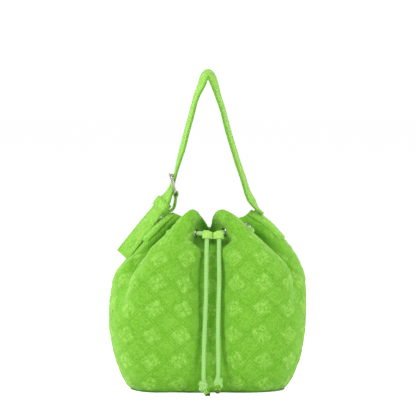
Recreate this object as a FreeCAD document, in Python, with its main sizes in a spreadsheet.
import FreeCAD, Part, MeshPart
import math
import os

# Drawstring bucket bag with one buckled shoulder strap.
# Frame: millimetres, +X to the bag's right seen from the front, front faces -Y, +Z up,
# origin under the base centre. The buckle is on the left, -X, side.

doc = FreeCAD.newDocument("bucket_bag")
Vector = FreeCAD.Vector
Rotation = FreeCAD.Rotation
Placement = FreeCAD.Placement
Y_AXIS = Vector(0, 1, 0)
Z_AXIS = Vector(0, 0, 1)

SIZES = [
    ("body_width", 343.0), ("body_depth", 206.0), ("body_rise", 315.0),
    ("cloth_thick", 4.0), ("hem_start", 3.6),
    ("base_length", 263.0), ("base_width", 149.0), ("base_corner", 53.0), ("base_thick", 3.0),
    ("piping_rad", 1.4),
    ("lining_gap", 1.4), ("lining_thick", 0.8),
    ("eyelet_bore", 5.5), ("eyelet_barrel", 6.2), ("eyelet_flange", 8.6),
    ("eyelet_rim", 1.1), ("eyelet_grip", 3.4),
    ("cord_rad", 3.9), ("cord_bend", 7.0), ("loop_bend", 5.6), ("tail_spread", 21.0),
    ("knot_ring", 4.6), ("knot_rope", 3.5),
    ("bead_rad", 5.0), ("bead_length", 12.0), ("bead_round", 1.3),
    ("ring_rad", 3.3), ("ring_wire", 0.7),
    ("slider_width", 37.0), ("slider_depth", 14.0), ("slider_height", 15.0),
    ("slider_round", 5.0),
    ("tunnel_width", 12.0), ("tunnel_depth", 9.4), ("notch_drop", 3.0),
    ("strap_width", 38.0), ("strap_thick", 4.5), ("patch_thick", 2.2), ("anchor_thick", 2.6),
    ("keeper_length", 18.0), ("keeper_wall", 2.4), ("keeper_play", 0.8),
    ("buckle_wire", 1.8), ("buckle_inside", 40.0), ("buckle_pitch", 32.6),
    ("buckle_corner", 5.0), ("heel_play", 0.35),
    ("prong_wire", 1.5), ("prong_play", 0.08),
    ("strap_slot_play", 2.4), ("anchor_slot_play", 1.6),
]
sheet = doc.addObject("Spreadsheet::Sheet", "sizes")
for row, (name, value) in enumerate(SIZES, 1):
    sheet.set("A%d" % row, name)
    sheet.set("B%d" % row, str(value))
    sheet.setAlias("B%d" % row, name)
doc.recompute()

pieces = {}


# ---------------------------------------------------------------- helpers
def size(name):
    return float(getattr(sheet, name))


def bind(obj, **expressions):
    for prop, expression in expressions.items():
        obj.setExpression(prop, expression)


def piece(label, obj):
    """Label an object and list it for export."""
    obj.Label = label
    pieces[label] = obj


def feature(label, shape):
    obj = doc.addObject("Part::Feature", label)
    obj.Label = label
    obj.Shape = shape
    return obj


def primitive(kind, name, placement, **expressions):
    obj = doc.addObject("Part::" + kind, name)
    bind(obj, **expressions)
    obj.Placement = placement
    return obj


def fuse(name, shapes):
    obj = doc.addObject("Part::MultiFuse", name)
    obj.Shapes = shapes
    return obj


def cut(name, base, tool):
    obj = doc.addObject("Part::Cut", name)
    obj.Base = base
    obj.Tool = tool
    return obj


def add_fillet(body, name, base, picked, radius):
    """Fillet the edges of base for which picked(edge) is true."""
    edges = ["Edge%d" % k for k, edge in enumerate(base.Shape.Edges, 1) if picked(edge)]
    fillet = body.newObject("PartDesign::Fillet", name)
    fillet.Base = (base, edges)
    bind(fillet, Radius=radius)
    body.Tip = fillet


def is_upright(edge):
    return abs(edge.Vertexes[0].Z - edge.Vertexes[-1].Z) > 1.0


def rounded_box(body_name, box_name, fillet_name, length, width, height, radius):
    """Body holding a box with its four upright edges rounded."""
    body = doc.addObject("PartDesign::Body", body_name)
    box = body.newObject("PartDesign::AdditiveBox", box_name)
    bind(box, Length=length, Width=width, Height=height)
    doc.recompute()
    add_fillet(body, fillet_name, box, is_upright, radius)
    return body


def cut_box(body, name, lengths, corner):
    """Cut a box out of a body; lengths and corner are x, y, z expressions."""
    box = body.newObject("PartDesign::SubtractiveBox", name)
    for prop, expression in zip(("Length", "Width", "Height"), lengths):
        box.setExpression(prop, expression)
    for axis, expression in zip("xyz", corner):
        box.setExpression("Placement.Base." + axis, expression)
    body.Tip = box


def unit(vector):
    result = Vector(vector)
    result.normalize()
    return result


def toward(point, direction):
    """Placement at point with local Z along direction."""
    return Placement(point, Rotation(Z_AXIS, direction))


def axes_rotation(ex, ey, ez):
    """Rotation that takes the local axes to three given directions."""
    matrix = FreeCAD.Matrix(ex.x, ey.x, ez.x, 0, ex.y, ey.y, ez.y, 0, ex.z, ey.z, ez.z, 0,
                            0, 0, 0, 1)
    return Placement(matrix).Rotation


def skin_solid(outer, inner):
    """Solid between two surfaces through matching grids of points."""
    top = Part.BSplineSurface()
    top.interpolate(outer)
    under = Part.BSplineSurface()
    under.interpolate(inner)
    top_u0, top_u1, top_v0, top_v1 = top.bounds()
    under_u0, under_u1, under_v0, under_v1 = under.bounds()
    sides = (
        (top.uIso(top_u0), under.uIso(under_u0)), (top.uIso(top_u1), under.uIso(under_u1)),
        (top.vIso(top_v0), under.vIso(under_v0)), (top.vIso(top_v1), under.vIso(under_v1)),
    )
    faces = [top.toShape(), under.toShape()]
    for top_edge, under_edge in sides:
        faces.append(Part.makeRuledSurface(top_edge.toShape(), under_edge.toShape()))
    skin = Part.Compound(faces)
    skin.sewShape()
    solid = Part.Solid(skin.Shells[0] if skin.Shells else skin)
    if solid.Volume < 0:
        solid.reverse()
    return solid


def pipe(path, start, direction, radius):
    circle = Part.Wire([Part.Circle(start, direction, radius).toShape()])
    return path.makePipeShell([circle], True, False)


def rounded_path(points, radius):
    """Polyline with its corners rounded; a nearly straight corner is passed over."""
    edges = []
    here = points[0]
    for before, corner, after in zip(points, points[1:], points[2:]):
        to_before = unit(before - corner)
        to_after = unit(after - corner)
        half = math.acos(max(-1.0, min(1.0, to_before.dot(to_after)))) / 2
        if half > math.radians(89.0):
            continue
        trim = radius / math.tan(half)
        bisector = unit(to_before + to_after)
        centre = corner + bisector * (radius / math.sin(half))
        arc_start = corner + to_before * trim
        arc_end = corner + to_after * trim
        edges.append(Part.makeLine(here, arc_start))
        edges.append(Part.Arc(arc_start, centre - bisector * radius, arc_end).toShape())
        here = arc_end
    edges.append(Part.makeLine(here, points[-1]))
    return Part.Wire(edges)


def rounded_rectangle(half_x, half_y, radius, z):
    """Closed wire starting at the right end of the front straight."""
    flat_x, flat_y = half_x - radius, half_y - radius
    mid_x = flat_x + radius * math.sqrt(0.5)
    mid_y = flat_y + radius * math.sqrt(0.5)
    # per corner: arc start, arc middle, arc end
    corners = [
        ((flat_x, -half_y), (mid_x, -mid_y), (half_x, -flat_y)),
        ((half_x, flat_y), (mid_x, mid_y), (flat_x, half_y)),
        ((-flat_x, half_y), (-mid_x, mid_y), (-half_x, flat_y)),
        ((-half_x, -flat_y), (-mid_x, -mid_y), (-flat_x, -half_y)),
    ]
    corners = [[Vector(x, y, z) for x, y in corner] for corner in corners]
    edges = []
    for k, (start, middle, end) in enumerate(corners):
        edges.append(Part.Arc(start, middle, end).toShape())
        edges.append(Part.makeLine(end, corners[(k + 1) % 4][0]))
    return Part.Wire(edges)


# ---------------------------------------------------------------- cloth surface
# The cloth passes through nine rings of points from hem to rim, 64 columns to a ring.
# Column 0 is the front centre, 16 the left side, 32 the back centre, 48 the right side.
COLUMNS = 64
ROWS = 9
LEFT_SIDE = COLUMNS // 4
RIGHT_SIDE = 3 * COLUMNS // 4
# body width, depth and rise at which the tables below are drawn
DRAWN_WIDTH, DRAWN_DEPTH, DRAWN_RISE = 343.0, 206.0, 315.0

# share of a quarter ring's length at each column, from front centre to side
SHARES = [0, .05, .105, .165, .23, .30, .38, .46, .53, .58, .625, .67, .715, .77, .84, .92, 1.0]
# lower rings: half width, half depth, corner radius, z, depth of the dent front and back
LOWER_RINGS = [
    (133.0, 76.0, 55.0, 1.5, 0.5),
    (150.0, 89.0, 62.0, 23.0, 5.5),
    (166.0, 100.0, 72.0, 75.0, 14.5),
    (171.5, 103.0, 80.0, 131.0, 22.3),
]
DENT_X = 8.0
DENT_SPREAD = 29.0
# upper rings, front quarters from front centre to side: x, y, z
UPPER_LEFT = [
    [(5, -74, 190), (-11, -76.2, 191), (-27, -90, 192), (-44, -98, 192), (-62, -102, 192),
     (-81, -104, 192), (-101, -102, 192), (-119, -95, 192), (-130, -84, 191), (-133, -73, 191),
     (-130, -62, 192), (-128, -53, 193), (-135, -47, 194), (-148, -40, 194), (-157, -29, 194),
     (-163, -16, 194), (-165, 0, 194)],
    [(5, -68, 226), (-9, -70, 227), (-23, -86, 228), (-37, -94, 228), (-52, -98, 228),
     (-69, -99, 228), (-86, -97, 228), (-101, -89, 228), (-110, -79, 227), (-112, -67, 228),
     (-104, -55, 230), (-96, -44, 231), (-99, -35, 232), (-116, -33, 231), (-131, -30, 230),
     (-139, -20, 228), (-142, 0, 227)],
    [(5, -56, 248), (-6, -60, 248), (-18, -73, 250), (-30, -83, 251), (-43, -89, 252),
     (-57, -91, 253), (-72, -89, 253), (-86, -82, 252), (-96, -73, 251), (-95, -60, 252),
     (-85, -48, 254), (-72, -37, 256), (-66, -27, 258), (-75, -22, 257), (-92, -23, 254),
     (-108, -19, 252), (-113, 0, 251)],
    [(5, -28, 266), (-4, -32, 267), (-13, -42, 271), (-20, -55, 275), (-26, -67, 277),
     (-38, -75, 278), (-52, -76, 278), (-64, -72, 277), (-70, -64, 276), (-69, -53, 276),
     (-61, -43, 277), (-50, -35, 279), (-41, -27, 281), (-46, -20, 282), (-62, -20, 282),
     (-80, -17, 281), (-88, 0, 280)],
    [(4, -20, 278), (-1, -27, 284), (-7, -38, 295), (-13, -50, 306), (-19, -59, 313),
     (-27, -64, 315.5), (-35, -64, 312.5), (-42, -60, 307), (-47, -53, 302), (-48, -45, 299),
     (-44, -37, 297), (-37, -30, 297), (-31, -22, 298), (-34, -16, 299), (-45, -15, 300),
     (-55, -13, 302), (-58, 0, 302)],
]
UPPER_RIGHT = [
    [(5, -74, 190), (22, -75.7, 191), (38, -89, 192), (55, -98, 192), (74, -102, 192),
     (94, -104, 192), (114, -102, 192), (132, -94, 192), (143, -84, 192), (147, -73, 192),
     (145, -62, 193), (144, -53, 194), (150, -45, 194), (159, -37, 194), (165, -27, 194),
     (168, -15, 194), (169, 0, 194)],
    [(5, -68, 226), (21, -69.6, 227), (36, -85, 228), (52, -95, 228), (69, -99, 228),
     (87, -101, 228), (104, -98, 228), (118, -90, 228), (128, -80, 227), (130, -68, 228),
     (122, -56, 230), (114, -45, 231), (114, -35, 232), (127, -32, 232), (141, -27, 232),
     (151, -18, 232), (155, 0, 232)],
    [(5, -56, 248), (17, -60, 248), (31, -73, 250), (45, -83, 251), (60, -89, 252),
     (75, -92, 253), (89, -90, 253), (100, -83, 252), (106, -74, 251), (106, -62, 252),
     (98, -50, 254), (87, -38, 256), (81, -28, 258), (90, -23, 260), (109, -24, 261),
     (127, -19, 262), (134, 0, 262)],
    [(5, -28, 266), (14, -32, 267), (23, -42, 272), (30, -55, 277), (36, -67, 279),
     (47, -75, 280), (60, -77, 280), (70, -74, 279), (76, -66, 278), (76, -55, 278),
     (69, -44, 279), (60, -35, 281), (52, -27, 283), (58, -20, 286), (75, -20, 289),
     (96, -17, 291), (106, 0, 292)],
    [(4, -20, 278), (7, -28, 284), (9, -40, 295), (12, -52, 306), (18, -61, 313),
     (27, -65, 315.5), (37, -65, 312.5), (46, -61, 307), (53, -54, 301), (55, -45, 298),
     (52, -37, 297), (46, -30, 298), (43, -22, 297), (49, -17, 297), (60, -15, 300),
     (71, -12, 306), (78, 0, 312)],
]
# The back rim is lowered by this share of its distance from mid-depth, fading in above a z.
BACK_DROP = 0.17
BACK_DROP_START = 284.0
BACK_DROP_FADE = 24.0


def lower_quarter(half_width, half_depth, radius, z, dent, side):
    """Front quarter of a dented rounded rectangle; side is -1 for left, 1 for right."""
    flat = half_width - radius
    curve = radius * math.pi / 2
    end = half_depth - radius
    total = flat + curve + end
    points = []
    for share in SHARES:
        run = total * share
        if run <= flat:
            x, y = run, half_depth
        elif run <= flat + curve:
            angle = (run - flat) / radius
            x = flat + radius * math.sin(angle)
            y = half_depth - radius + radius * math.cos(angle)
        else:
            x, y = half_width, end - (run - flat - curve)
        x *= side
        depth = dent * math.exp(-((x - DENT_X) / DENT_SPREAD) ** 4)
        points.append((x, -y + depth, z))
    return points


def mirror_to_back(point):
    x, y, z = point
    fade = min(1.0, max(0.0, (z - BACK_DROP_START) / BACK_DROP_FADE))
    return (x, -y, z + BACK_DROP * y * fade)


def full_ring(left, right):
    """Whole ring from its two front quarters: front, left, back, right."""
    points = list(left)
    points += [mirror_to_back(point) for point in reversed(left[:-1])]
    points += [mirror_to_back(point) for point in right[1:]]
    points += list(reversed(right[1:-1]))
    return points


def cloth_rings():
    rings = [full_ring(lower_quarter(*row, -1), lower_quarter(*row, 1)) for row in LOWER_RINGS]
    rings += [full_ring(left, right) for left, right in zip(UPPER_LEFT, UPPER_RIGHT)]
    scale_x = size("body_width") / DRAWN_WIDTH
    scale_y = size("body_depth") / DRAWN_DEPTH
    scale_z = size("body_rise") / DRAWN_RISE
    return [[(x * scale_x, y * scale_y, z * scale_z) for x, y, z in ring] for ring in rings]


def solve(matrix, right_side):
    """Gauss-Jordan elimination with row pivoting, for many right-hand columns at once."""
    count = len(matrix)
    rows = [list(matrix[i]) + list(right_side[i]) for i in range(count)]
    for i in range(count):
        pivot = max(range(i, count), key=lambda k: abs(rows[k][i]))
        rows[i], rows[pivot] = rows[pivot], rows[i]
        divisor = rows[i][i]
        rows[i] = [value / divisor for value in rows[i]]
        for k in range(count):
            if k != i and rows[k][i] != 0.0:
                factor = rows[k][i]
                rows[k] = [a - factor * b for a, b in zip(rows[k], rows[i])]
    return [row[count:] for row in rows]


def spline_poles(rings):
    """Poles of a uniform cubic surface, closed round the bag, with natural hem and rim."""
    matrix = [[0.0] * COLUMNS for _ in range(COLUMNS)]
    for i in range(COLUMNS):
        matrix[i][i] = 4 / 6.0
        matrix[i][(i - 1) % COLUMNS] += 1 / 6.0
        matrix[i][(i + 1) % COLUMNS] += 1 / 6.0
    right_side = [[c for ring in rings for c in ring[j]] for j in range(COLUMNS)]
    around = solve(matrix, right_side)

    count = ROWS + 2
    matrix = [[0.0] * count for _ in range(count)]
    for i in range(ROWS):
        matrix[i + 1][i:i + 3] = [1 / 6.0, 4 / 6.0, 1 / 6.0]
    matrix[0][:3] = [1.0, -2.0, 1.0]
    matrix[-1][-3:] = [1.0, -2.0, 1.0]
    right_side = [[0.0] * (3 * COLUMNS)]
    for i in range(ROWS):
        right_side.append([c for column in around for c in column[3 * i:3 * i + 3]])
    right_side.append([0.0] * (3 * COLUMNS))
    upward = solve(matrix, right_side)
    return [[row[3 * j:3 * j + 3] for j in range(COLUMNS)] for row in upward]


poles = spline_poles(cloth_rings())


def spline_weights(f):
    return ((1 - f) ** 3 / 6.0, (3 * f ** 3 - 6 * f * f + 4) / 6.0,
            (-3 * f ** 3 + 3 * f * f + 3 * f + 1) / 6.0, f ** 3 / 6.0)


def spline_slopes(f):
    return (-(1 - f) ** 2 / 2.0, (3 * f * f - 4 * f) / 2.0,
            (-3 * f * f + 2 * f + 1) / 2.0, f * f / 2.0)


def cloth(u, v):
    """Point and outward normal at column u, row v."""
    row = int(min(max(math.floor(v), 0), ROWS - 2))
    column = int(math.floor(u))
    weight_v, slope_v = spline_weights(v - row), spline_slopes(v - row)
    weight_u, slope_u = spline_weights(u - column), spline_slopes(u - column)
    point = [0.0] * 3
    along_u = [0.0] * 3
    along_v = [0.0] * 3
    for i in range(4):
        for j in range(4):
            pole = poles[row + i][(column - 1 + j) % COLUMNS]
            for k in range(3):
                point[k] += weight_v[i] * weight_u[j] * pole[k]
                along_u[k] += weight_v[i] * slope_u[j] * pole[k]
                along_v[k] += slope_v[i] * weight_u[j] * pole[k]
    return Vector(*point), unit(Vector(*along_v).cross(Vector(*along_u)))


def cloth_patch(u0, u1, v0, v1, steps_u, steps_v, low, high):
    """Solid over a range of the cloth, between two lifts along its normal."""
    outer, inner = [], []
    for i in range(steps_u + 1):
        u = u0 + (u1 - u0) * i / steps_u
        samples = [cloth(u, v0 + (v1 - v0) * j / steps_v) for j in range(steps_v + 1)]
        outer.append([point + normal * high for point, normal in samples])
        inner.append([point + normal * low for point, normal in samples])
    return skin_solid(outer, inner)


def row_at_height(z):
    """Lowest row value at which every fourth column has reached z."""
    found = []
    for u in range(0, COLUMNS, 4):
        low, high = 0.0, 3.0
        for _ in range(40):
            middle = (low + high) / 2
            if cloth(u, middle)[0].z < z:
                low = middle
            else:
                high = middle
        found.append(low)
    return max(found)


# ---------------------------------------------------------------- eyelet shape and places
# column and row of each eyelet, round from the front centre by the left side
EYELET_PLACES = [
    (3, 7.0), (10, 6.8), (13.3, 6.8), (18.7, 6.8), (22, 6.8), (29, 7.0),
    (35, 7.0), (42, 6.8), (45.3, 6.8), (50.7, 6.8), (54, 6.8), (61, 7.0),
]
FRONT_EYELETS = [0, 1, 2, 9, 10, 11]
BACK_EYELETS = [3, 4, 5, 6, 7, 8]
EYELET_LEVELLING = 0.8  # factor on the z of an eyelet's axis
FLANGE_LIFT = 0.6  # from the cloth's outer face to the rim's underside, nominal


def eyelet_place(u, v):
    point, normal = cloth(u, v)
    return point, unit(Vector(normal.x, normal.y, normal.z * EYELET_LEVELLING))


def make_eyelet_shape():
    """Eyelet about Z: domed rim above, barrel through the cloth, flat washer below."""
    bore, barrel, flange = size("eyelet_bore"), size("eyelet_barrel"), size("eyelet_flange")
    grip = size("eyelet_grip")
    top = FLANGE_LIFT + size("eyelet_rim")
    # radius and z; four numbers are an arc's end, then a point it passes through
    outline = [
        (bore, -grip - 0.6),
        (bore, top - 0.5),
        (barrel + 0.3, top + 0.35, bore + 0.25, top + 0.2),
        (flange, 0.7, flange - 0.75, top - 0.15),
        (flange - 0.3, 0.62),
        (barrel, 0.62),
        (barrel, -grip + 0.6),
        (flange - 0.4, -grip + 0.55),
        (flange, -grip + 0.2),
        (flange - 0.5, -grip - 0.6),
    ]
    edges = []
    for here, there in zip(outline, outline[1:] + outline[:1]):
        start = Vector(here[0], 0, here[1])
        end = Vector(there[0], 0, there[1])
        if len(there) == 4:
            edges.append(Part.Arc(start, Vector(there[2], 0, there[3]), end).toShape())
        else:
            edges.append(Part.makeLine(start, end))
    return Part.Face(Part.Wire(edges)).revolve(Vector(0, 0, 0), Z_AXIS, 360)


eyelets = [eyelet_place(u, v) for u, v in EYELET_PLACES]
eyelet_shape = make_eyelet_shape()

# ---------------------------------------------------------------- cloth panels
SEAM_GAP = 0.035  # in columns, from each side seam to the panel edge
POCKET_PLAY = 0.25  # radial room round an eyelet
FLANGE_ROOM_FROM = 0.55  # lift where the room for the rim starts
WASHER_ROOM_FROM = -2.6  # lift where the room for the washer starts
CUT_ATTEMPTS = 24
MAX_LEFT_OVER = 0.002  # cloth volume allowed inside the eyelets
MAX_CUT_AWAY = 9000  # largest change in a panel's volume
MESH_DEFLECTIONS = (0.0951, 0.12, 0.3)


def eyelet_pocket(point, normal, turn, reach):
    """Cutters for one eyelet: its barrel hole, and room for the rim and the washer."""
    barrel = size("eyelet_barrel") + POCKET_PLAY
    flange = size("eyelet_flange") + POCKET_PLAY
    turned = toward(point, normal).Rotation.multiply(Rotation(Z_AXIS, turn))
    cutters = []
    for radius, low, high in ((barrel, -reach, reach), (flange, FLANGE_ROOM_FROM, reach),
                              (flange, -reach, WASHER_ROOM_FROM)):
        cutter = Part.makeCylinder(radius, high - low)
        cutter.Placement = Placement(point + normal * low, turned)
        cutters.append(cutter)
    return cutters


def cloth_in_eyelets(shape, places):
    """Volume of cloth still inside the eyelets' barrels and metal."""
    volume = 0.0
    for point, normal in places:
        fitted = eyelet_shape.copy()
        fitted.Placement = toward(point, normal)
        barrel = Part.makeCylinder(size("eyelet_barrel"), 5.0, point - normal * 4.5, normal)
        volume += shape.common(barrel).Volume
        volume += shape.common(fitted).Volume
    return volume


def meshes_closed(shape):
    return all(
        MeshPart.meshFromShape(Shape=shape.copy(), LinearDeflection=deflection,
                               AngularDeflection=0.3, Relative=False).isSolid()
        for deflection in MESH_DEFLECTIONS)


def make_panel(label, u0, u1, eyelet_ids, first_attempt):
    """Cloth panel with its eyelet holes.

    The boolean can leave cloth in a hole or an open mesh, so the cutters are turned
    and shortened from one attempt to the next until the panel is clean.
    """
    raw = cloth_patch(u0 + SEAM_GAP, u1 - SEAM_GAP, row_at_height(size("hem_start")),
                      float(ROWS - 1), 96, 40, -size("cloth_thick"), 0.0)
    places = [eyelets[i] for i in eyelet_ids]
    others = [i for i in range(CUT_ATTEMPTS) if i != first_attempt]
    for attempt in [first_attempt] + others:
        cutters = []
        for point, normal in places:
            cutters += eyelet_pocket(point, normal, 37.0 * attempt, 12.0 - 0.21 * attempt)
        holed = raw.cut(cutters)
        if holed.isNull() or not holed.Solids:
            continue
        shape = max(holed.Solids, key=lambda solid: solid.Volume)
        left_over = cloth_in_eyelets(shape, places)
        if not shape.isValid() or left_over > MAX_LEFT_OVER:
            continue
        if abs(shape.Volume - raw.Volume) > MAX_CUT_AWAY:
            continue
        if meshes_closed(shape):
            piece(label, feature(label, shape))
            return
    raise RuntimeError(label + ": the eyelet holes are not clear")


make_panel("front_panel", -LEFT_SIDE, LEFT_SIDE, FRONT_EYELETS, 5)
make_panel("back_panel", LEFT_SIDE, RIGHT_SIDE, BACK_EYELETS, 2)

# ---------------------------------------------------------------- base, piping and lining
PIPING_GAP = 0.2  # between the piping and the base's edge, and under the piping
LINING_SEAM_GAP = 0.06  # in columns
LINING_START = 9.0  # z
LINING_TOP_ROW = 3.9
FLOOR_INSET = 9.0
FLOOR_LIFT = 1.0


def make_base():
    body = rounded_box("base_body", "base_plate", "base_round", "sizes.base_length",
                       "sizes.base_width", "sizes.base_thick", "sizes.base_corner")
    body.setExpression("Placement.Base.x", "-sizes.base_length / 2")
    body.setExpression("Placement.Base.y", "-sizes.base_width / 2")
    piece("base_panel", body)


def make_piping():
    """Round cord about the base's edge."""
    radius = size("piping_rad")
    offset = radius + PIPING_GAP
    half_x = size("base_length") / 2 + offset
    half_y = size("base_width") / 2 + offset
    corner = size("base_corner") + offset
    path = rounded_rectangle(half_x, half_y, corner, offset)
    start = Vector(half_x - corner, -half_y, offset)
    piece("base_piping", feature("base_piping", pipe(path, start, Vector(1, 0, 0), radius)))


def make_lining():
    """Front wall, back wall and floor, as three solids."""
    thick = size("lining_thick")
    depth = size("cloth_thick") + size("lining_gap")
    start_row = row_at_height(LINING_START)
    solids = []
    for u0, u1 in ((-LEFT_SIDE, LEFT_SIDE), (LEFT_SIDE, RIGHT_SIDE)):
        solids.append(cloth_patch(u0 + LINING_SEAM_GAP, u1 - LINING_SEAM_GAP, start_row,
                                  LINING_TOP_ROW, 96, 24, -depth - thick, -depth))
    wire = rounded_rectangle(size("base_length") / 2 - FLOOR_INSET,
                             size("base_width") / 2 - FLOOR_INSET,
                             size("base_corner") - FLOOR_INSET,
                             size("base_thick") + FLOOR_LIFT)
    solids.append(Part.Face(wire).extrude(Vector(0, 0, thick)))
    piece("lining", feature("lining", Part.Compound(solids)))


def make_eyelets():
    for k, (point, normal) in enumerate(eyelets, 1):
        label = "eyelet_%02d" % k
        eyelet = feature(label, eyelet_shape)
        eyelet.Placement = toward(point, normal)
        piece(label, eyelet)


make_base()
make_piping()
make_lining()
make_eyelets()

# ---------------------------------------------------------------- drawcord
LOOP_OUTSIDE = 8.0  # reach of the loop's corners outside the cloth, along an eyelet's axis
LOOP_INSIDE = -10.0
LOOP_END = -1.15  # where the loop's two ends stop in the front eyelets
TAIL_START = 3.0  # where a tail starts, outside its eyelet
BEAD_GAP = 1.9  # beyond the knot
RING_GAP = 0.05  # beyond the bead
SLIDER_DROP = 2.6  # slider centre below the tails' upper bends, along the tails
TAIL_X = -0.9
# each tail runs from its eyelet over an upper bend down to a knot with a bead
TAILS = {
    "left": {
        "eyelet": 0,
        "bend": Vector(TAIL_X, -74.6, 275.5),
        "knot": Vector(TAIL_X - 6.0, -105.5, 14.5),
        "bead_direction": Vector(0.34, -0.72, -0.60),
        "mirror": 1,
    },
    "right": {
        "eyelet": 11,
        "bend": Vector(TAIL_X + size("tail_spread"), -74.6, 276.5),
        "knot": Vector(TAIL_X + size("tail_spread") - 1.5, -104.8, 20.0),
        "bead_direction": Vector(-0.06, -0.82, -0.57),
        "mirror": -1,
    },
}
# the knot's three rings: axis, offset of the centre; x is mirrored on the right tail
KNOT_RINGS = [
    ((0.25, 0.9, 0.45), (0, 0, 1.6)),
    ((-0.75, 0.35, 0.55), (0.8, 0, -1.2)),
    ((0.62, -0.1, 0.8), (-0.6, -0.6, 0.2)),
]


def make_loop():
    """Cord woven in and out through the twelve eyelets, open at the front centre."""
    corners = []
    for k, (point, normal) in enumerate(eyelets):
        reaches = (LOOP_OUTSIDE, LOOP_INSIDE) if k % 2 == 0 else (LOOP_INSIDE, LOOP_OUTSIDE)
        corners += [point + normal * reach for reach in reaches]
    start, end = [point + normal * LOOP_END for point, normal in (eyelets[0], eyelets[-1])]
    points = [start] + corners[1:-1] + [end]
    path = rounded_path(points, size("loop_bend"))
    shape = pipe(path, start, points[1] - start, size("cord_rad"))
    piece("drawcord_loop", feature("drawcord_loop", shape))


def make_tail(side):
    """Cord tail fused with the ball at its start and the rings of its knot."""
    tail = TAILS[side]
    point, normal = eyelets[tail["eyelet"]]
    start = point + normal * TAIL_START
    bend, knot = tail["bend"], tail["knot"]
    path = rounded_path([start, bend, knot], size("cord_bend"))
    shapes = [
        feature("cord_rope_" + side, pipe(path, start, bend - start, size("cord_rad"))),
        primitive("Sphere", "cord_ball_" + side, Placement(start, Rotation()),
                  Radius="sizes.cord_rad"),
    ]
    for i, (axis, offset) in enumerate(KNOT_RINGS):
        axis = Vector(tail["mirror"] * axis[0], axis[1], axis[2])
        offset = Vector(tail["mirror"] * offset[0], offset[1], offset[2])
        shapes.append(primitive("Torus", "knot_%s_%d" % (side, i), toward(knot + offset, axis),
                                Radius1="sizes.knot_ring", Radius2="sizes.knot_rope"))
    piece("cord_tail_" + side, fuse("cord_tail_" + side, shapes))


def make_bead(side):
    """Round-edged bead below the knot, and the small ring at its far end."""
    direction = unit(TAILS[side]["bead_direction"])
    reach = size("knot_ring") + size("knot_rope") + BEAD_GAP
    start = TAILS[side]["knot"] + direction * reach
    body = doc.addObject("PartDesign::Body", "bead_body_" + side)
    core = body.newObject("PartDesign::AdditiveCylinder", "bead_core_" + side)
    bind(core, Radius="sizes.bead_rad", Height="sizes.bead_length")
    doc.recompute()
    add_fillet(body, "bead_edge_" + side, core,
               lambda edge: isinstance(edge.Curve, Part.Circle), "sizes.bead_round")
    body.Placement = toward(start, direction)
    piece("cord_bead_" + side, body)

    centre = start + direction * (size("bead_length") + size("ring_wire") + RING_GAP)
    ring = primitive("Torus", "bead_ring_" + side, toward(centre, direction),
                     Radius1="sizes.ring_rad", Radius2="sizes.ring_wire")
    piece("bead_ring_" + side, ring)


def make_slider():
    """Sleeve with a tunnel for each tail, notched at its upper outer ends toward the back."""
    body = rounded_box("slider_body", "slider_block", "slider_soft", "sizes.slider_width",
                       "sizes.slider_depth", "sizes.slider_height", "sizes.slider_round")
    tunnel_front = "sizes.slider_depth / 2 - sizes.tunnel_depth / 2"
    notch_starts = ("-2", "sizes.slider_width / 2 + sizes.tail_spread / 2 - 3")
    for k, sign in enumerate("-+"):
        tunnel_x = ("sizes.slider_width / 2 %s sizes.tail_spread / 2 - sizes.tunnel_width / 2"
                    % sign)
        cut_box(body, "tunnel_%d" % k,
                ("sizes.tunnel_width", "sizes.tunnel_depth", "sizes.slider_height + 4"),
                (tunnel_x, tunnel_front, "-2"))
        cut_box(body, "notch_%d" % k,
                ("sizes.slider_width / 2 - sizes.tail_spread / 2 + 5",
                 "sizes.slider_depth / 2 + sizes.tunnel_depth / 2 + 2",
                 "sizes.slider_height"),
                (notch_starts[k], tunnel_front + " - 0.1", "sizes.notch_drop"))

    left, right = TAILS["left"], TAILS["right"]
    middle = (left["bend"] + right["bend"]) * 0.5
    down = unit((left["knot"] + right["knot"]) * 0.5 - middle)
    up = down * -1
    across = right["bend"] - left["bend"]
    across = unit(across - up * across.dot(up))
    rotation = axes_rotation(across, up.cross(across), up)
    corner = Vector(size("slider_width"), size("slider_depth"), size("slider_height")) * -0.5
    centre = middle + down * SLIDER_DROP
    body.Placement = Placement(centre + rotation.multVec(corner), rotation)
    piece("cord_slider", body)


make_loop()
for side in ("left", "right"):
    make_tail(side)
    make_bead(side)
make_slider()

# ---------------------------------------------------------------- strap ends on the shoulders
STRAP_END_LIFT = 1.0
STRAP_END_HALF = 1.25  # half width, in columns


def make_strap_end(side, column, v0, v1):
    label = "strap_end_" + side
    shape = cloth_patch(column - STRAP_END_HALF, column + STRAP_END_HALF, v0, v1, 28, 36,
                        STRAP_END_LIFT, STRAP_END_LIFT + size("patch_thick"))
    piece(label, feature(label, shape))


make_strap_end("left", LEFT_SIDE, 6.12, 7.7)
make_strap_end("right", RIGHT_SIDE, 6.0, 7.6)

# ---------------------------------------------------------------- strap
# Strap centre line, x and z: from the right shoulder over the crest, down through the
# buckle and out to the free end on the left.
STRAP_LINE = [
    (79.8, 324.8), (75.5, 331.5), (68.6, 347), (62.3, 368), (55.0, 389), (48.4, 410),
    (41.9, 431), (35.8, 452), (30.6, 473), (24.6, 494), (17.6, 515), (11.6, 534),
    (6.6, 549), (0.9, 555.6), (-4.8, 549), (-9.2, 534), (-17.6, 515), (-24.0, 494),
    (-29.6, 473), (-35.4, 452), (-40.6, 431), (-46.4, 410), (-52.4, 389), (-56.2, 374.5),
    (-59.8, 362), (-64.2, 350), (-69.0, 339.0), (-77.0, 326.5), (-89.0, 312.0),
    (-152.5, 236.5),
]
MAIN_TWIST = -10.8  # degrees
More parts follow.
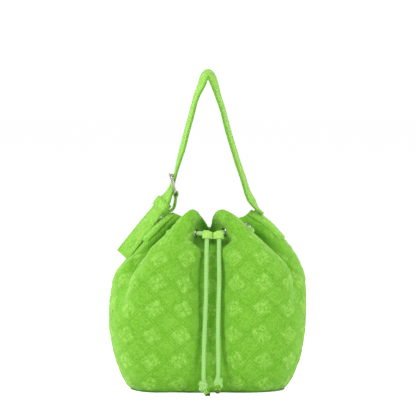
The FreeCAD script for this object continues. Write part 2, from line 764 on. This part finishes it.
# turn of the strap about its own length: distance from the free end, degrees
TWISTS = [(0, -37), (86, -28), (119, -28), (133, -5), (172, -2), (212, MAIN_TWIST),
          (1e6, MAIN_TWIST)]
TWIST_IN = 60.0  # length over which the twist grows from the right shoulder
CREST_Z = 555.6
CREST_START_Z = 520.0  # above this the twist fades out toward the crest
# centres of the rounded lower ends of the strap and the anchor strap
STRAP_HINGE = Vector(75.5, 0, 334.0)
ANCHOR_HINGE = Vector(-60.0, 0, 329.0)
MIN_HALF_WIDTH = 5.0

# buckle: heel bar in the anchor strap's fold, far bar above it
HEEL = Vector(-55.5, 0, 341.0)
BUCKLE_UP = unit(Vector(-6.6, 0, 31.9))
BUCKLE_OUT = Vector(-BUCKLE_UP.z, 0, BUCKLE_UP.x)  # toward the bag's left
FAR = HEEL + BUCKLE_UP * size("buckle_pitch")
PRONG_LIFT = 0.55  # clearance of the prong's tip over the far bar
PRONG_OVERHANG = 3.0

# prong slot in the strap: extents through and along it, and its centre from the heel
STRAP_SLOT_THROUGH = 26.0
STRAP_SLOT_LENGTH = 40.0
STRAP_SLOT_RISE = 20.0
STRAP_SLOT_SHIFT = Vector(3.0, 0, 0)
# prong slot in the anchor strap's fold
ANCHOR_SLOT_THROUGH = 16.0
ANCHOR_SLOT_HEIGHT = 13.0
ANCHOR_SLOT_BELOW = 6.0  # part of the height below the heel bar's axis
ANCHOR_NARROWER = 2.0  # than the strap
KEEPER_NEAR = Vector(-80.5, 0, 319.5)


def strap_axes(tangent, twist):
    """Width direction and face normal of a strap that runs in the XZ plane."""
    normal = unit(Vector(-tangent.z, 0, tangent.x))
    angle = math.radians(twist)
    return (Y_AXIS * math.cos(angle) + normal * math.sin(angle),
            normal * math.cos(angle) - Y_AXIS * math.sin(angle))


def ribbon(stations, thickness):
    """Strap through stations of centre, tangent, twist in degrees, width."""
    outer, inner = [], []
    for centre, tangent, twist, width in stations:
        across, normal = strap_axes(tangent, twist)
        line = [centre + across * (width * share / 2) for share in (-1, -0.5, 0, 0.5, 1)]
        outer.append([point + normal * (thickness / 2) for point in line])
        inner.append([point - normal * (thickness / 2) for point in line])
    return skin_solid(outer, inner)


def walk(line, count):
    """Even steps along a curve through x, z points: point, tangent, length done, left."""
    curve = Part.BSplineCurve()
    curve.interpolate([Vector(x, 0, z) for x, z in line])
    length = curve.length()
    steps = []
    for k in range(count + 1):
        done = length * k / count
        if k == 0:
            parameter = curve.FirstParameter
        elif k == count:
            parameter = curve.LastParameter
        else:
            parameter = curve.parameterAtDistance(done, curve.FirstParameter)
        tangent = curve.tangent(parameter)[0]
        steps.append((curve.value(parameter), Vector(tangent.x, 0, tangent.z),
                      done, length - done))
    return steps


def twist_at(left):
    for (start, twist0), (end, twist1) in zip(TWISTS, TWISTS[1:]):
        if left <= end:
            return twist0 + (twist1 - twist0) * (max(left, start) - start) / (end - start)


def rounded_end_width(centre, hinge, width):
    """Full width above the hinge; below it the width follows a half circle."""
    if centre.z >= hinge.z:
        return width
    drop = (centre - hinge).Length
    return 2 * math.sqrt(max(MIN_HALF_WIDTH ** 2, (width / 2) ** 2 - drop * drop))


strap_route = walk(STRAP_LINE, 150)


def make_strap():
    """Shoulder strap with the slot for the prong."""
    stations = []
    for centre, tangent, done, left in strap_route:
        twist = twist_at(left)
        if done < TWIST_IN:
            twist = MAIN_TWIST * done / TWIST_IN
        if centre.z > CREST_START_Z:
            twist *= max(0.0, (CREST_Z - centre.z) / (CREST_Z - CREST_START_Z))
        width = size("strap_width")
        if centre.x > 0:
            width = rounded_end_width(centre, STRAP_HINGE, width)
        stations.append((centre, tangent, twist, width))
    raw = feature("strap_raw", ribbon(stations, size("strap_thick")))

    width = 2 * size("prong_wire") + size("strap_slot_play")
    rotation = Rotation(Y_AXIS, math.degrees(math.atan2(BUCKLE_UP.x, BUCKLE_UP.z)))
    centre = HEEL + BUCKLE_UP * STRAP_SLOT_RISE - STRAP_SLOT_SHIFT
    corner = Vector(STRAP_SLOT_THROUGH, width, STRAP_SLOT_LENGTH) * -0.5
    slot = primitive("Box", "prong_slot",
                     Placement(centre + rotation.multVec(corner), rotation),
                     Width="2 * sizes.prong_wire + sizes.strap_slot_play")
    slot.Length = STRAP_SLOT_THROUGH
    slot.Height = STRAP_SLOT_LENGTH
    piece("shoulder_strap", cut("shoulder_strap", raw, slot))


def make_buckle_frame():
    """Rectangular wire frame: two bars, two rails and four quarter-torus corners."""
    corner = size("buckle_corner")
    half_y = size("buckle_inside") / 2 + size("buckle_wire")
    bar_length = "sizes.buckle_inside + 2 * sizes.buckle_wire - 2 * sizes.buckle_corner"
    parts = []
    for k, bar in enumerate((HEEL, FAR)):
        parts.append(primitive("Cylinder", "buckle_bar_%d" % k,
                               toward(bar - Y_AXIS * (half_y - corner), Y_AXIS),
                               Radius="sizes.buckle_wire", Height=bar_length))
    for k, sign in enumerate((-1, 1)):
        start = HEEL + Y_AXIS * (sign * half_y) + BUCKLE_UP * corner
        parts.append(primitive("Cylinder", "buckle_rail_%d" % k, toward(start, BUCKLE_UP),
                               Radius="sizes.buckle_wire",
                               Height="sizes.buckle_pitch - 2 * sizes.buckle_corner"))
    for k, (sign_y, sign_up) in enumerate(((1, 1), (-1, 1), (-1, -1), (1, -1))):
        centre = ((FAR if sign_up > 0 else HEEL) - BUCKLE_UP * (sign_up * corner)
                  + Y_AXIS * (sign_y * (half_y - corner)))
        first, second = Y_AXIS * sign_y, BUCKLE_UP * sign_up
        if sign_y * sign_up < 0:
            first, second = second, first
        rotation = axes_rotation(first, second, first.cross(second))
        turn = primitive("Torus", "buckle_turn_%d" % k, Placement(centre, rotation),
                         Radius1="sizes.buckle_corner", Radius2="sizes.buckle_wire")
        turn.Angle3 = 90
        parts.append(turn)
    piece("buckle_frame", fuse("buckle_frame", parts))


def make_prong():
    """Prong: eye round the heel bar, shank to a rounded tip over the far bar."""
    wires = size("buckle_wire") + size("prong_wire")
    tip = FAR + BUCKLE_OUT * (wires + PRONG_LIFT) + BUCKLE_UP * PRONG_OVERHANG
    start = HEEL + BUCKLE_UP * (wires + size("prong_play"))
    eye = primitive("Torus", "prong_eye", toward(HEEL, Y_AXIS),
                    Radius1="sizes.buckle_wire + sizes.prong_wire + sizes.prong_play",
                    Radius2="sizes.prong_wire")
    shank = primitive("Cylinder", "prong_shank", toward(start, unit(tip - start)),
                      Radius="sizes.prong_wire")
    shank.Height = (tip - start).Length
    nose = primitive("Sphere", "prong_nose", Placement(tip, Rotation()),
                     Radius="sizes.prong_wire")
    piece("buckle_prong", fuse("buckle_prong", [eye, shank, nose]))


def make_anchor():
    """Short strap from the left shoulder up to a fold round the heel bar."""
    strap_width = size("strap_width")
    thick = size("anchor_thick")
    wrap = size("buckle_wire") + size("heel_play") + thick / 2
    # centre line, x and z
    line = [(-66.4, 313.0), (-63.0, 319.5), (-59.2, 328.0), (-57.2, 333.5),
            (HEEL.x - 0.6, HEEL.z - wrap)]
    stations = []
    for centre, tangent, _, _ in walk(line, 40):
        width = rounded_end_width(centre, ANCHOR_HINGE, strap_width - ANCHOR_NARROWER)
        stations.append((centre, tangent, 0.0, width))
    raw = feature("anchor_raw", ribbon(stations, thick))
    fold = primitive("Cylinder", "anchor_fold",
                     toward(HEEL - Y_AXIS * ((strap_width - ANCHOR_NARROWER) / 2), Y_AXIS),
                     Radius="sizes.buckle_wire + sizes.heel_play + sizes.anchor_thick",
                     Height="sizes.strap_width - %g" % ANCHOR_NARROWER)
    solid = fuse("anchor_sum", [raw, fold])

    eye = primitive("Cylinder", "anchor_eye",
                    toward(HEEL - Y_AXIS * (strap_width / 2 + 2), Y_AXIS),
                    Radius="sizes.buckle_wire + sizes.heel_play",
                    Height="sizes.strap_width + 4")
    slot_width = 2 * size("prong_wire") + size("anchor_slot_play")
    corner = Vector(HEEL.x - ANCHOR_SLOT_THROUGH / 2, -slot_width / 2,
                    HEEL.z - ANCHOR_SLOT_BELOW)
    slot = primitive("Box", "anchor_slot", Placement(corner, Rotation()),
                     Width="2 * sizes.prong_wire + sizes.anchor_slot_play")
    slot.Length = ANCHOR_SLOT_THROUGH
    slot.Height = ANCHOR_SLOT_HEIGHT
    holes = fuse("anchor_holes", [eye, slot])
    piece("anchor_strap", cut("anchor_strap", solid, holes))


def make_keeper():
    """Loop round the strap just below the buckle."""
    centre, tangent, _, left = min(strap_route, key=lambda step: (step[0] - KEEPER_NEAR).Length)
    across, normal = strap_axes(tangent, twist_at(left))
    rotation = axes_rotation(normal, across, normal.cross(across))
    mouth = ("sizes.strap_thick + 2 * sizes.keeper_play",
             "sizes.strap_width + 2 * sizes.keeper_play")
    body = rounded_box("keeper_body", "keeper_block", "keeper_soft",
                       mouth[0] + " + 2 * sizes.keeper_wall",
                       mouth[1] + " + 2 * sizes.keeper_wall",
                       "sizes.keeper_length", "sizes.keeper_wall")
    cut_box(body, "keeper_mouth", mouth + ("sizes.keeper_length + 4",),
            ("sizes.keeper_wall", "sizes.keeper_wall", "-2"))
    border = size("keeper_play") + size("keeper_wall")
    corner = Vector(-size("strap_thick") / 2 - border, -size("strap_width") / 2 - border,
                    -size("keeper_length") / 2)
    body.Placement = Placement(centre + rotation.multVec(corner), rotation)
    piece("keeper_loop", body)


make_buckle_frame()
make_prong()
make_strap()
make_anchor()
make_keeper()

# ---------------------------------------------------------------- check and write
doc.recompute()
broken = [obj.Name for obj in doc.Objects if "Invalid" in obj.State or "Error" in obj.State]
for label, obj in pieces.items():
    shape = obj.Shape
    if shape.isNull() or not shape.isValid() or shape.Volume <= 0 or not shape.Solids:
        broken.append(label)
if broken:
    raise RuntimeError("broken pieces: " + ", ".join(broken))
os.makedirs("parts", exist_ok=True)
for label, obj in pieces.items():
    obj.Shape.exportStep("parts/%s.step" % label)
